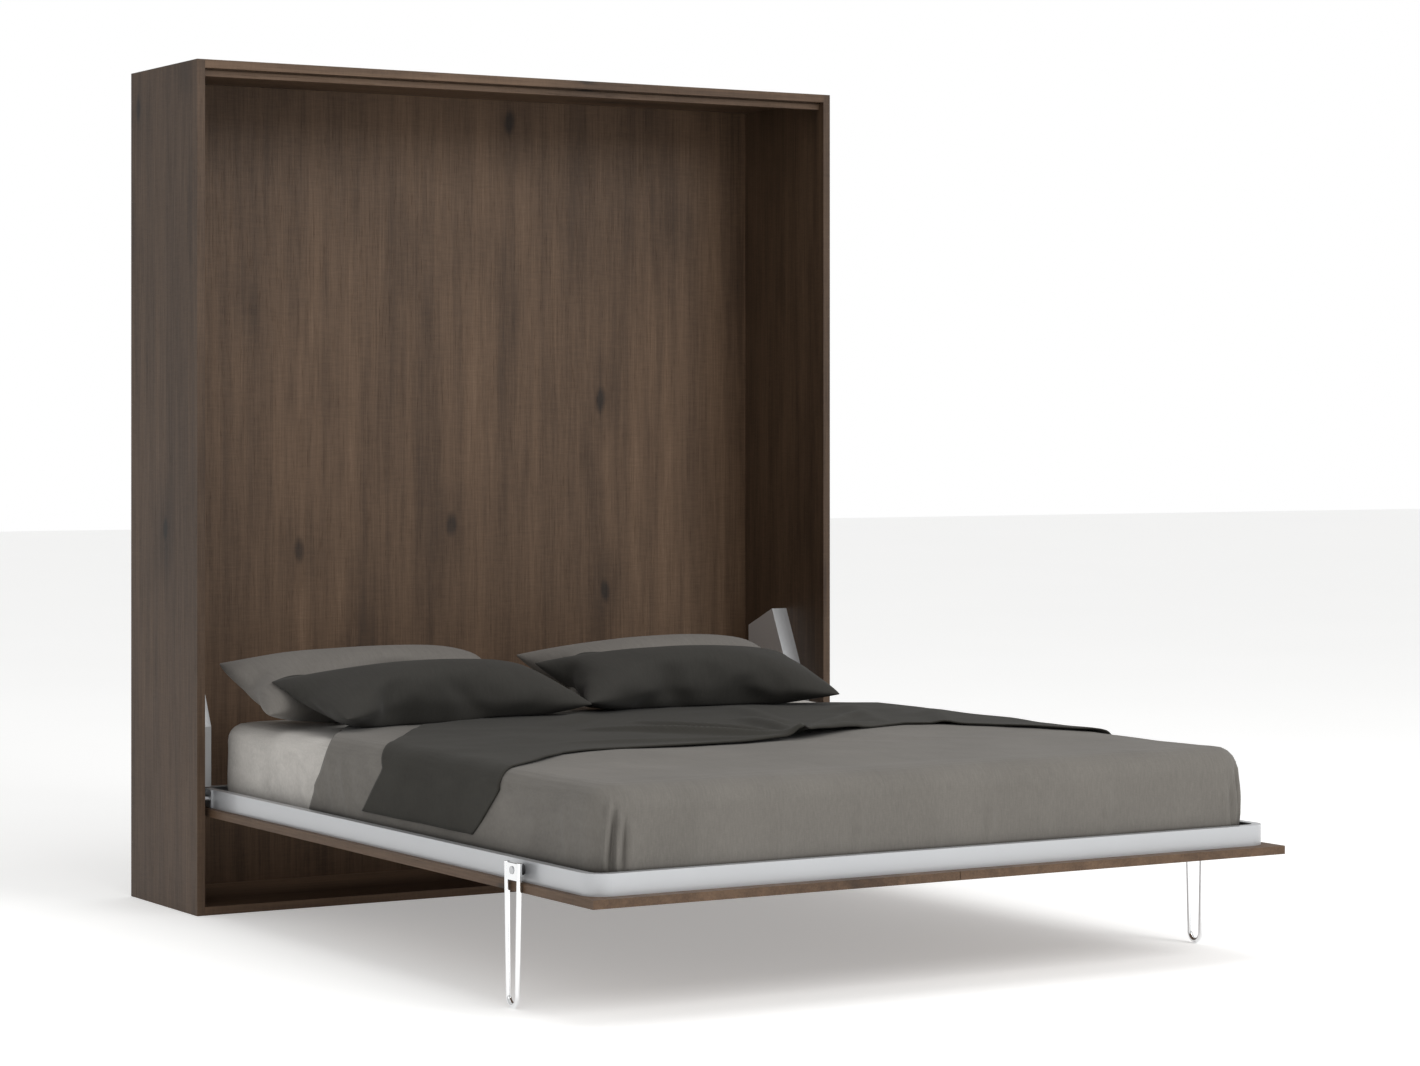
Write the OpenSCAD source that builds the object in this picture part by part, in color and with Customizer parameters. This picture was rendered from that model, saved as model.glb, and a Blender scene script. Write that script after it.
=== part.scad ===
// Murphy wall bed: a shallow cabinet with a double bed that folds down out of it.
// X runs across the cabinet, +Y points into the wall, +Z is up.
// The origin lies on the floor, under the middle of the open bed.

/* [Cabinet] */
// Outer width of the cabinet
cabinet_w = 1780; // [1300:10:2200]
// Outer height of the cabinet
cabinet_h = 2026; // [1650:1:2450]
// Outer depth of the cabinet
cabinet_d = 417; // [400:1:560]
// Thickness of the side, top and bottom boards
board_t = 20; // [16:1:28]
// Thickness of the two back boards
back_t = 18; // [12:1:25]
// Depth of the hollow behind the back boards
back_recess = 8; // [6:1:20]
// Height of the rail that stops the closed door
stop_rail_h = 18; // [12:1:30]
// Depth of the rail that stops the closed door
stop_rail_d = 18; // [12:1:30]
// Height of the shadow groove along the top of the stop rail
stop_groove_h = 4; // [2:1:6]
// Diameter of the corner dowels
dowel_d = 8; // [6:1:10]
// Length of the corner dowels
dowel_len = 32; // [24:1:40]

/* [Fold] */
// Height of the open door's underside above the floor
open_height = 232; // [225:1:260]
// How far the head of the open bed reaches behind the cabinet's front
head_depth = 118; // [112:1:135]
// Set-back of the closed door behind the cabinet's front edges
door_recess = 1; // [0:0.5:5]
// Gap above and below the closed door
door_gap = 3.5; // [2:0.5:8]
// Gap between the door's long edges and the side boards
door_side_gap = 13.5; // [13.5:0.5:16]

/* [Door] */
// Thickness of the door boards
door_t = 18; // [15:1:22]
// Width of the seam between the two door boards
door_seam = 1.5; // [1:0.5:4]

/* [Bed frame] */
// Gap between the rim and the side boards
rim_side_gap = 29; // [27:1:34]
// Distance from the rim's foot to the door's foot
rim_foot_gap = 33; // [10:1:60]
// Width of the rim profile
rim_t = 20; // [16:1:26]
// Height of the rim profile
rim_h = 44; // [40:1:54]
// Sheet thickness of the rim profile
rim_wall = 2.5; // [2:0.5:4]
// Outside radius of the rim's corners
rim_corner_r = 45; // [32:1:70]
// Height of the beam and the cross bars
beam_h = 12; // [10:1:13]
// Width of the long centre beam
beam_w = 50; // [40:1:70]
// Width of each cross bar
bar_w = 30; // [20:1:45]
// Number of rows of cross bars
bar_rows = 3; // [2:1:4]
// Number of slats on each side
slat_count = 13; // [8:1:15]
// Width of one slat
slat_w = 63; // [40:1:70]
// Thickness of one slat
slat_t = 8; // [6:1:10]

/* [Mechanism] */
// Thickness of the guide plates
plate_t = 6; // [5:0.5:7]
// Diameter of the nylon guide bushes
bush_d = 17.4; // [14:0.2:19]
// Diameter of the guide pins
pin_d = 12; // [8:1:13]
// Running gap between a guide bush and its slot
slot_gap = 0.3; // [0.2:0.1:0.6]
// Distance from the head of the bed to the front guide pin
front_pin_back = 78; // [74:1:82]
// Distance from the head of the bed to the rear guide pin
rear_pin_back = 18; // [16:1:22]
// Height of the guide pins above the rim's underside
pin_rise = 22; // [20:1:24]
// Thickness of the brackets that carry the guide pins
bracket_t = 4; // [3:0.5:5]
// Distance from the head of the bed to the gas rod's pivot
gas_foot_back = 43; // [41:1:45]
// Height of the gas rod's pivot above the rim's underside
gas_foot_rise = 34; // [32:1:34]
// Depth of the gas cylinder's upper end behind the cabinet's front
gas_top_y = 190; // [180:1:200]
// Height of the gas cylinder's upper end
gas_top_z = 585; // [570:1:600]
// Diameter of the gas rod
gas_rod_d = 10; // [8:1:11]
// Diameter of the gas cylinder
gas_tube_d = 22; // [18:1:24]
// Length of the gas cylinder's tube
gas_tube_len = 268; // [262:1:270]
// Length of the gas rod
gas_rod_len = 276; // [274:1:282]
// Height of the mechanism covers' lower edge
cover_z0 = 297; // [296:1:310]
// Width of the mechanism covers
cover_w = 45; // [42:1:50]
// Sheet thickness of the mechanism covers
cover_sheet = 1.5; // [1:0.25:2]

/* [Legs] */
// Distance from the door's foot to the legs
leg_from_foot = 315; // [200:5:500]
// Diameter of the leg's bent bar
leg_bar_d = 11; // [8:0.5:11]
// Distance between the bars' centres at the top
leg_top_gap = 54; // [46:1:60]
// Distance between the bars' centres at the bottom
leg_low_gap = 38; // [30:1:44]
// Thickness of the plate between the bars
leg_plate_t = 6; // [4:1:8]
// Height of the plate between the bars
leg_plate_h = 34; // [28:1:36]
// Diameter of the leg's pivot pin
leg_pin_d = 10; // [8:1:12]
// Height of the leg's pivot above the rim's underside
leg_pivot_rise = 25; // [22:1:28]

/* [Bedding] */
// Gap between the mattress and the rim along each side
mattress_side_gap = 21; // [15:1:30]
// Gap between the mattress and the rim at the foot
mattress_foot_gap = 11; // [10:1:20]
// Gap between the mattress and the rim at the head
mattress_head_gap = 5; // [2:1:15]
// Thickness of the mattress
mattress_t = 180; // [140:5:200]
// Plan radius of the mattress's corners
mattress_corner_r = 60; // [40:5:90]
// Thickness of the duvet
duvet_t = 8; // [5:1:10]
// Distance from the head of the mattress to the duvet's edge
duvet_from_head = 330; // [200:10:500]
// Thickness of the throw
throw_t = 4; // [2:1:5]
// Width of the throw along the bed
throw_w = 880; // [500:10:1000]
// Distance from the head of the mattress to the throw
throw_from_head = 440; // [400:10:600]
// Height of the throw's hem above the rim
throw_hem = 30; // [10:5:60]
// Length of one pillow
pillow_len = 690; // [560:10:720]
// Depth of one pillow
pillow_d = 340; // [300:10:420]
// Fullness of one pillow
pillow_h = 120; // [90:5:130]

/* [Fixings] */
// Diameter of the wood screws
screw_d = 5; // [4:0.5:6]
// Diameter of the screw heads
screw_head_d = 9; // [8:0.5:10]
// Thickness of the screw heads
screw_head_t = 1.8; // [1.5:0.1:2]
// Radial gap around a screw in its hole
screw_gap = 0.15; // [0.1:0.05:0.3]
// Distance between the wall hooks across the cabinet
hook_span = 1300; // [800:10:1400]
// Distance between the upper and the lower wall hooks
hook_drop = 400; // [200:10:600]
// Diameter of the holes in the wall hooks
hook_hole_d = 8; // [6:1:10]

/* [Hidden] */
$fn = 48;
through = 1;
touch = 0.3;
half_w = cabinet_w / 2;
side_in = half_w - board_t;
front_y = (cabinet_h - 2 * board_t - 2 * door_gap - head_depth - cabinet_d) / 2;
back_y = cabinet_d - back_recess - back_t;

// The door fills the cabinet's front when it is closed, so its length follows the cabinet.
door_len = cabinet_h - 2 * board_t - 2 * door_gap;
door_half = side_in - door_side_gap;
foot_y = head_depth - door_len;

// A quarter turn about this line takes the open door into the cabinet's front.
fold_z = (open_height - door_recess + board_t + door_gap + head_depth) / 2;
fold_y = board_t + door_gap + head_depth - fold_z;

rim_z0 = open_height + door_t;
rim_z1 = rim_z0 + rim_h;
rim_half = side_in - rim_side_gap;
rim_y0 = foot_y + rim_foot_gap;
rim_len = head_depth - rim_y0;
rim_in_half = rim_half - rim_t;

slat_rest_t = 2;
slat_z0 = rim_z0 + beam_h + slat_rest_t;
slat_z1 = slat_z0 + slat_t;
slat_web = 3;
slat_cap_w = slat_w + 5;
slat_cap_reach = 2;
slat_grip = 20;

mattress_half = rim_in_half - mattress_side_gap;
mattress_y0 = rim_y0 + rim_t + mattress_foot_gap;
mattress_y1 = head_depth - rim_t - mattress_head_gap;
mattress_len = mattress_y1 - mattress_y0;
mattress_z1 = slat_z1 + mattress_t;
cover_z_low = slat_z1 + 10;

bracket_x = rim_half + bracket_t;
plate_x = side_in - plate_t;
pin_z = rim_z0 + pin_rise;
front_pin_y = head_depth - front_pin_back;
rear_pin_y = head_depth - rear_pin_back;
slot_w = bush_d + 2 * slot_gap;
plate_y0 = door_recess + door_t + 3;
plate_y1 = rear_pin_y + 50;
plate_z0 = board_t + 2;
plate_z1 = rim_z1 - 2;
bracket_y0 = front_pin_y - 16;
bracket_y1 = head_depth - 2;
plate_screws = [
    [plate_y0 + 8, fold_z - 36], [plate_y0 + 8, fold_z + 36],
    [plate_y1 - 10, plate_z0 + 18], [plate_y1 - 10, fold_z - 26], [plate_y1 - 10, plate_z1 - 12]
];
plate_screw_depth = 12;

// The gas spring stands in the gap between the guide plate and the pin bracket.
gas_x = rim_half + bracket_t + 9.5;
gas_foot_y = head_depth - gas_foot_back;
gas_foot_z = rim_z0 + gas_foot_rise;
gas_len = norm([gas_top_y - gas_foot_y, gas_top_z - gas_foot_z]);
gas_tilt = atan2(gas_top_y - gas_foot_y, gas_top_z - gas_foot_z);
gas_eye_r = 8;
gas_eye_t = 12;
gas_pin_r = 4;
gas_pin_gap = 0.05;
gas_bore_gap = 0.1;
gas_neck_r = 6;
gas_top_room = 13;
gas_tube_end = 15;
gas_top_plate_t = 3;

cover_front_y = 70;
cover_knee_z = 440;
cover_peak = [183, 673];
cover_back = [301, 624];
cover_shape = [
    [cover_front_y, cover_z0], [cover_front_y, cover_knee_z], cover_peak,
    cover_back, [cover_back[0], cover_z0]
];

leg_x = side_in - 7;
leg_y = foot_y + leg_from_foot;
leg_pivot_z = rim_z0 + leg_pivot_rise;
leg_top_z = rim_z1 - 3;
leg_bend_r = leg_low_gap / 2;
leg_bend_swell = 0.2;
leg_bend_lap = 1.5;
leg_bend_z = leg_bend_r + leg_bar_d / 2 + leg_bend_swell;
leg_lean = atan2(leg_top_gap / 2 - leg_bend_r, leg_top_z - leg_bend_z);
leg_plate_half = leg_top_gap / 2 - 1;
leg_plate_drop = 2;
leg_bush_r = 11;
leg_head_r = 8;
leg_head_t = 1.6;
leg_pin_gap = 0.05;

throw_y1 = mattress_y1 - throw_from_head;
duvet_y1 = mattress_y1 - duvet_from_head;
bedding_gap = 0.3;
duvet_half = mattress_half + bedding_gap + duvet_t;
duvet_y0 = mattress_y0 - bedding_gap - duvet_t;
duvet_z1 = mattress_z1 + bedding_gap + duvet_t;
throw_half = duvet_half + bedding_gap + throw_t;
throw_z1 = duvet_z1 + bedding_gap + throw_t;

hook_w = 60;
hook_h = 90;
hook_t = 3;
hook_head_r = 9;
hook_pocket = 8;
hook_z1 = cabinet_h - 126;

oak_brown = [0.27, 0.20, 0.15];
oak_dark = [0.20, 0.15, 0.12];

// ---------- placing ----------

// Moves a piece from the cabinet's front plane to the part's own origin.
module placed() {
    translate([0, front_y, 0]) children();
}

// Draws a piece for the left side (-1) or its mirror image on the right side (1).
// Pieces are written with x as the distance outwards from the middle.
module on_side(side) {
    placed() {
        if (side > 0) children();
        else mirror([1, 0, 0]) children();
    }
}

// Turns a flat outline of (depth, height) points so that its thickness runs outwards from x0.
module upright(x0) {
    translate([x0, 0, 0]) rotate([90, 0, 90]) children();
}

// A round bar or bore across the cabinet at a depth and a height.
module cross_round(x0, x1, y, z, r) {
    upright(x0) translate([y, z, 0]) cylinder(h = x1 - x0, r = r);
}

// A block between two corners.
module block(low, high) {
    translate(low) cube(high - low);
}

// ---------- cabinet ----------

// Dowel places along the joint between a side board and the top or bottom board.
dowel_rows = [0.15, 0.5, 0.85];

module dowel_holes(gap) {
    for (share = dowel_rows)
        for (z = [board_t / 2, cabinet_h - board_t / 2])
            cross_round(side_in - dowel_len * 0.6, side_in + dowel_len * 0.4, share * back_y, z,
                dowel_d / 2 + gap);
}

module corner_dowels() {
    color("tan") {
        on_side(1) dowel_holes(0);
        on_side(-1) dowel_holes(0);
    }
}

// The front or back face's screw holes for the guide plate.
module plate_screw_holes(x0, x1) {
    for (spot = plate_screws)
        cross_round(x0, x1, spot[0], spot[1], screw_d / 2 + screw_gap);
}

module side_panel(side) {
    color(oak_brown) on_side(side) difference() {
        block([side_in, 0, 0], [half_w, cabinet_d, cabinet_h]);
        dowel_holes(touch / 2);
        plate_screw_holes(side_in - through, side_in + plate_screw_depth + touch);
    }
}

module cross_panel(z0) {
    color(oak_brown) placed() difference() {
        block([-side_in, 0, z0], [side_in, cabinet_d, z0 + board_t]);
        dowel_holes(touch / 2);
        mirror([1, 0, 0]) dowel_holes(touch / 2);
    }
}

module back_panel(side) {
    color(oak_brown) on_side(side) difference() {
        block([0, back_y, board_t], [side_in, back_y + back_t, cabinet_h - board_t]);
        for (z = [hook_z1, hook_z1 - hook_drop])
            translate([hook_span / 2, back_y + back_t - hook_pocket, z])
                rotate([-90, 0, 0]) cylinder(h = hook_pocket + through, r = hook_head_r);
    }
}

module stop_rail() {
    y0 = door_recess + door_t + 0.5;
    z1 = cabinet_h - board_t;
    color(oak_dark) placed() difference() {
        block([-side_in, y0, z1 - stop_rail_h], [side_in, y0 + stop_rail_d, z1]);
        block([-side_in - through, y0 - through, z1 - stop_groove_h],
            [side_in + through, y0 + stop_rail_d / 3, z1 + through]);
    }
}

// Steel plates behind the back boards. Screw heads in the wall hook through their holes.
module wall_hooks() {
    color("silver") placed()
        for (x = [-hook_span / 2, hook_span / 2])
            for (z = [hook_z1, hook_z1 - hook_drop])
                translate([x, back_y + back_t, z]) rotate([-90, 0, 0]) difference() {
                    translate([-hook_w / 2, -hook_h / 2, 0]) cube([hook_w, hook_h, hook_t]);
                    translate([0, 0, -through])
                        cylinder(h = hook_t + 2 * through, r = hook_hole_d / 2);
                }
}

// ---------- guide plates and covers ----------

// An arc slot about the fold line, from a pin's open place to its closed place.
module pin_slot(y, z) {
    reach = norm([y - fold_y, z - fold_z]);
    start = atan2(z - fold_z, y - fold_y);
    translate([fold_y, fold_z, -through]) {
        rotate([0, 0, start - 90]) rotate_extrude(angle = 90, $fn = 96)
            translate([reach - slot_w / 2, 0]) square([slot_w, plate_t + 2 * through]);
        for (turn = [start, start - 90])
            rotate([0, 0, turn]) translate([reach, 0, 0])
                cylinder(h = plate_t + 2 * through, r = slot_w / 2);
    }
}

module guide_plate(side) {
    color("gainsboro") on_side(side) difference() {
        block([plate_x, plate_y0, plate_z0], [side_in, plate_y1, plate_z1]);
        upright(plate_x) {
            pin_slot(front_pin_y, pin_z);
            pin_slot(rear_pin_y, pin_z);
        }
        plate_screw_holes(plate_x - through, side_in + through);
    }
}

module plate_screw_set(side) {
    color("silver") on_side(side)
        for (spot = plate_screws) {
            cross_round(plate_x, side_in + plate_screw_depth, spot[0], spot[1], screw_d / 2);
            cross_round(plate_x - screw_head_t, plate_x, spot[0], spot[1], screw_head_d / 2);
        }
}

// A folded sheet cover, open towards the side board and downwards.
module mechanism_cover(side) {
    color("lightgray") on_side(side) upright(side_in - cover_w) difference() {
        linear_extrude(cover_w) polygon(cover_shape);
        translate([0, 0, cover_sheet]) linear_extrude(cover_w)
            offset(delta = -cover_sheet) polygon(cover_shape);
        translate([cover_front_y + cover_sheet, cover_z0 - through, cover_sheet])
            cube([cover_back[0] - cover_front_y - 2 * cover_sheet, 2 * cover_sheet + through, cover_w]);
    }
}

module gas_top_mount(side) {
    boss_x = gas_x + gas_tube_d / 2 + touch;
    color("dimgray") on_side(side) {
        block([side_in - gas_top_plate_t, gas_top_y - 20, gas_top_z - 25],
            [side_in, gas_top_y + 20, gas_top_z + 25]);
        cross_round(boss_x, side_in - gas_top_plate_t, gas_top_y, gas_top_z, gas_eye_r);
    }
}

// ---------- bed frame ----------

// A rectangle with round corners, set in from the rim's outer edge.
module rim_outline(inset) {
    r = rim_corner_r - inset;
    x = rim_half - inset;
    y0 = rim_y0 + inset;
    y1 = head_depth - inset;
    translate([-x, y0 + r]) square([2 * x, y1 - y0 - 2 * r]);
    translate([-x + r, y0]) square([2 * x - 2 * r, y1 - y0]);
    for (cx = [-x + r, x - r])
        for (cy = [y0 + r, y1 - r])
            translate([cx, cy]) circle(r = r);
}

// A channel that runs all round the bed and is open to the inside.
module rim_frame() {
    color("silver") placed() difference() {
        translate([0, 0, rim_z0]) linear_extrude(rim_h) rim_outline(0);
        translate([0, 0, rim_z0 - through]) linear_extrude(rim_h + 2 * through) rim_outline(rim_t);
        translate([0, 0, rim_z0 + rim_wall])
            linear_extrude(rim_h - 2 * rim_wall) rim_outline(rim_wall);
    }
}

bar_pitch = rim_len / (bar_rows + 1);

// Screw places on one half of the door: along the centre beam and on each cross bar.
function door_screw_rows() = [
    for (row = [1 : bar_rows])
        for (x = [beam_w / 2 + 60, rim_in_half / 2, rim_in_half - 60])
            [x, rim_y0 + row * bar_pitch]
];

module door_screw_holes(z0, z1) {
    for (spot = door_screw_rows())
        translate([spot[0], spot[1], z0]) cylinder(h = z1 - z0, r = screw_d / 2 + screw_gap);
}

module centre_beam() {
    color("silver") placed()
        block([-beam_w / 2, rim_y0 + rim_t, rim_z0], [beam_w / 2, head_depth - rim_t, rim_z0 + beam_h]);
}

module cross_bars() {
    color("silver")
        for (side = [-1, 1]) on_side(side) difference() {
            for (row = [1 : bar_rows])
                block([beam_w / 2, rim_y0 + row * bar_pitch - bar_w / 2, rim_z0],
                    [rim_in_half, rim_y0 + row * bar_pitch + bar_w / 2, rim_z0 + beam_h]);
            door_screw_holes(rim_z0 - through, rim_z0 + beam_h + through);
        }
}

slat_pitch = mattress_len / slat_count;
slat_end = rim_in_half + 5;

function slat_y(index) = mattress_y0 + (index + 0.5) * slat_pitch;

module slats(side) {
    color("burlywood") on_side(side)
        for (index = [0 : slat_count - 1])
            block([slat_web, slat_y(index) - slat_w / 2, slat_z0],
                [slat_end, slat_y(index) + slat_w / 2, slat_z1]);
}

// Plastic sockets in the rim's channel that hold the slats' outer ends.
module slat_caps(side) {
    color("dimgray") on_side(side)
        for (index = [0 : slat_count - 1]) difference() {
            block([mattress_half + slat_cap_reach, slat_y(index) - slat_cap_w / 2, rim_z0 + beam_h],
                [rim_half - rim_wall, slat_y(index) + slat_cap_w / 2, slat_z1 + 6]);
            block([mattress_half, slat_y(index) - slat_w / 2, slat_z0],
                [slat_end, slat_y(index) + slat_w / 2, slat_z1]);
        }
}

// Plastic saddles on the centre beam that hold the slats' inner ends.
module slat_caps_centre() {
    color("dimgray") placed()
        for (index = [0 : slat_count - 1]) difference() {
            block([-slat_grip, slat_y(index) - slat_w / 2, rim_z0 + beam_h],
                [slat_grip, slat_y(index) + slat_w / 2, slat_z1]);
            for (side = [-1, 1])
                block([side > 0 ? slat_web : -slat_grip - through, slat_y(index) - slat_w, slat_z0],
                    [side > 0 ? slat_grip + through : -slat_web, slat_y(index) + slat_w,
                        slat_z1 + through]);
        }
}

module door_panel(side) {
    color(oak_brown) on_side(side) difference() {
        block([door_seam / 2, foot_y, open_height], [door_half, head_depth, rim_z0]);
        door_screw_holes(open_height + 3, rim_z0 + through);
    }
}

module door_screws() {
    color("silver")
        for (side = [-1, 1]) on_side(side)
            for (spot = door_screw_rows()) translate([spot[0], spot[1], 0]) {
                translate([0, 0, open_height + 4])
                    cylinder(h = rim_z0 + beam_h - open_height - 4, r = screw_d / 2);
                translate([0, 0, rim_z0 + beam_h]) cylinder(h = screw_head_t, r = screw_head_d / 2);
            }
}

// ---------- moving mechanism ----------

// The plate on the rim's side, its two guide pins and the stud of the gas rod.
module pin_bracket(side) {
    color("gainsboro") on_side(side) {
        block([rim_half, bracket_y0, rim_z0 + 1], [bracket_x, bracket_y1, rim_z1 - 1]);
        for (y = [front_pin_y, rear_pin_y])
            cross_round(bracket_x, side_in - 0.5, y, pin_z, pin_d / 2);
        cross_round(bracket_x, gas_x + gas_eye_t / 2 + 2, gas_foot_y, gas_foot_z, gas_pin_r);
    }
}

module guide_bush_set(side) {
    color("white") on_side(side)
        for (y = [front_pin_y, rear_pin_y]) difference() {
            cross_round(plate_x + touch, side_in - 0.5, y, pin_z, bush_d / 2);
            cross_round(plate_x, side_in, y, pin_z, pin_d / 2);
        }
}

// Draws a gas spring's piece with z running from the rod's pivot to the upper pivot.
module along_gas(side) {
    on_side(side) translate([gas_x, gas_foot_y, gas_foot_z]) rotate([-gas_tilt, 0, 0]) children();
}

module across_eye(z, width, r) {
    translate([-width / 2, 0, z]) rotate([0, 90, 0]) cylinder(h = width, r = r);
}

module gas_rod(side) {
    color("whitesmoke") along_gas(side) difference() {
        union() {
            cylinder(h = gas_rod_len, r = gas_rod_d / 2);
            across_eye(0, gas_eye_t, gas_eye_r);
        }
        across_eye(0, gas_eye_t + 2 * through, gas_pin_r + gas_pin_gap);
    }
}

module gas_cylinder(side) {
    z1 = gas_len - gas_top_room;
    color([0.12, 0.12, 0.13]) along_gas(side) difference() {
        union() {
            translate([0, 0, z1 - gas_tube_len]) cylinder(h = gas_tube_len, r = gas_tube_d / 2);
            across_eye(gas_len, gas_tube_d, gas_eye_r);
            translate([0, 0, z1 - 1]) cylinder(h = gas_top_room + 1, r = gas_neck_r);
        }
        translate([0, 0, z1 - gas_tube_len - through])
            cylinder(h = gas_tube_len - gas_tube_end + through, r = gas_rod_d / 2 + gas_bore_gap);
    }
}

// ---------- legs ----------

module leg_bar(side) {
    start_y = leg_bend_r * cos(leg_lean);
    start_z = leg_bend_z - leg_bend_r * sin(leg_lean);
    length = (leg_top_z - start_z) / cos(leg_lean);
    translate([leg_x, leg_y + side * start_y, start_z])
        rotate([-side * leg_lean, 0, 0]) translate([0, 0, -leg_bend_lap])
            cylinder(h = length + leg_bend_lap, r = leg_bar_d / 2);
}

// The bend at the foot swells a hair past the bars, as a bent round bar does.
module leg_bend() {
    upright(leg_x) translate([leg_y, leg_bend_z, 0]) rotate([0, 0, 180 + leg_lean])
        rotate_extrude(angle = 180 - 2 * leg_lean, $fn = 96)
            translate([leg_bend_r, 0]) circle(r = leg_bar_d / 2 + leg_bend_swell);
}

module leg(side) {
    color("whitesmoke") on_side(side) difference() {
        union() {
            leg_bar(-1);
            leg_bar(1);
            leg_bend();
            block([leg_x - leg_plate_t / 2, leg_y - leg_plate_half, leg_top_z - leg_plate_h - leg_plate_drop],
                [leg_x + leg_plate_t / 2, leg_y + leg_plate_half, leg_top_z - leg_plate_drop]);
        }
        cross_round(leg_x - leg_bar_d, leg_x + leg_bar_d, leg_y, leg_pivot_z,
            leg_pin_d / 2 + leg_pin_gap);
    }
}

module leg_bush(side) {
    color([0.15, 0.15, 0.16]) on_side(side) difference() {
        cross_round(rim_half, leg_x - leg_plate_t / 2 - touch, leg_y, leg_pivot_z, leg_bush_r);
        cross_round(rim_half - through, leg_x, leg_y, leg_pivot_z, leg_pin_d / 2 + touch / 2);
    }
}

module leg_pin(side) {
    head_x = leg_x + leg_plate_t / 2 + touch;
    color("silver") on_side(side) {
        cross_round(rim_half, head_x, leg_y, leg_pivot_z, leg_pin_d / 2);
        cross_round(head_x, head_x + leg_head_t, leg_y, leg_pivot_z, leg_head_r);
    }
}

// ---------- bedding ----------

// A block with round corners in plan, like the mattress and what lies over it.
module soft_block(half, y0, y1, r) {
    translate([-half, y0 + r]) square([2 * half, y1 - y0 - r]);
    translate([-half + r, y0]) square([2 * half - 2 * r, y1 - y0]);
    for (x = [-half + r, half - r]) translate([x, y0 + r]) circle(r = r);
}

module mattress() {
    color([0.62, 0.60, 0.57]) placed() translate([0, 0, slat_z1])
        linear_extrude(mattress_t) soft_block(mattress_half, mattress_y0, mattress_y1,
            mattress_corner_r);
}

module duvet() {
    color([0.49, 0.47, 0.44]) placed() difference() {
        translate([0, 0, cover_z_low]) linear_extrude(duvet_z1 - cover_z_low)
            soft_block(duvet_half, duvet_y0, duvet_y1, mattress_corner_r + duvet_t);
        translate([0, 0, cover_z_low - through])
            linear_extrude(mattress_z1 + bedding_gap - cover_z_low + through)
                soft_block(mattress_half + bedding_gap, mattress_y0 - bedding_gap,
                    mattress_y1 + through, mattress_corner_r);
    }
}

module throw() {
    hem_z = rim_z1 + throw_hem;
    color([0.20, 0.19, 0.18]) placed() difference() {
        block([-throw_half, throw_y1 - throw_w, hem_z], [throw_half, throw_y1, throw_z1]);
        block([-duvet_half - bedding_gap, throw_y1 - throw_w - through, hem_z - through],
            [duvet_half + bedding_gap, throw_y1 + through, duvet_z1 + bedding_gap]);
    }
}

// A pillow: thin at its four corners and full in the middle.
pillow_corner_r = 9;
pillow_full = 0.86;

module pillow_shape() {
    corner_r = pillow_corner_r;
    hull() {
        for (x = [-1, 1])
            for (y = [-1, 1])
                translate([x * (pillow_len / 2 - corner_r), y * (pillow_d / 2 - corner_r), 0])
                    sphere(r = corner_r, $fn = 12);
        scale([pillow_len / pillow_h * pillow_full, pillow_d / pillow_h * pillow_full, 1])
            sphere(r = pillow_h / 2, $fn = 32);
    }
}

// Sets a pillow on the bed: tip raises its rear edge, swing turns it in plan.
module pillow(spot, tip, swing, paint) {
    color(paint) placed() translate(spot) rotate([tip, 0, swing]) pillow_shape();
}

light_paint = [0.47, 0.46, 0.44];
dark_paint = [0.22, 0.22, 0.21];
light_tip = 20;
dark_tip = 14;
dark_swing = 5;
pillow_seat_gap = 0.3;
// A dark pillow's rear edge is lifted by the light one under it, on the left and on the right.
dark_lean = [9.9, 11.2];

// How far a tipped pillow reaches below its own centre.
function pillow_drop(tip) = max(
    norm([pillow_d / 2 * pillow_full * sin(tip), pillow_h / 2 * cos(tip)]),
    (pillow_d / 2 - pillow_corner_r) * sin(tip) + pillow_corner_r);

light_z = mattress_z1 + pillow_drop(light_tip) + pillow_seat_gap;
dark_z = throw_z1 + pillow_drop(dark_tip) + pillow_seat_gap;
light_y = mattress_y1 - 152;
dark_y = mattress_y1 - 380;
light_out = mattress_half - pillow_len / 2;
pillow_middle = 5;

// The left pillows lie at the bed's edge, the right ones next to its middle.
module pillow_light(side) {
    x = side < 0 ? -light_out - 15 : pillow_middle + pillow_len / 2;
    pillow([x, light_y, light_z], light_tip, 0, light_paint);
}

module pillow_dark(side) {
    x = side < 0 ? 8 * pillow_middle - light_out : pillow_len / 2 - 5 * pillow_middle;
    lean = side < 0 ? dark_lean[0] : dark_lean[1];
    pillow([x, dark_y, dark_z + lean], dark_tip, -side * dark_swing, dark_paint);
}

// ---------- the assembly ----------

side_panel(-1);  // side_panel_left
side_panel(1);  // side_panel_right
cross_panel(cabinet_h - board_t);  // top_panel
cross_panel(0);  // bottom_panel
back_panel(-1);  // back_panel_left
back_panel(1);  // back_panel_right
stop_rail();
corner_dowels();
wall_hooks();
guide_plate(-1);  // guide_plate_left
guide_plate(1);  // guide_plate_right
plate_screw_set(-1);  // plate_screws_left
plate_screw_set(1);  // plate_screws_right
mechanism_cover(-1);  // mechanism_cover_left
mechanism_cover(1);  // mechanism_cover_right
gas_top_mount(-1);  // gas_top_mount_left
gas_top_mount(1);  // gas_top_mount_right
rim_frame();
centre_beam();
cross_bars();
slats(-1);  // slats_left
slats(1);  // slats_right
slat_caps(-1);  // slat_caps_left
slat_caps(1);  // slat_caps_right
slat_caps_centre();
door_panel(-1);  // door_panel_left
door_panel(1);  // door_panel_right
door_screws();
pin_bracket(-1);  // pin_bracket_left
pin_bracket(1);  // pin_bracket_right
guide_bush_set(-1);  // guide_bushes_left
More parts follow.
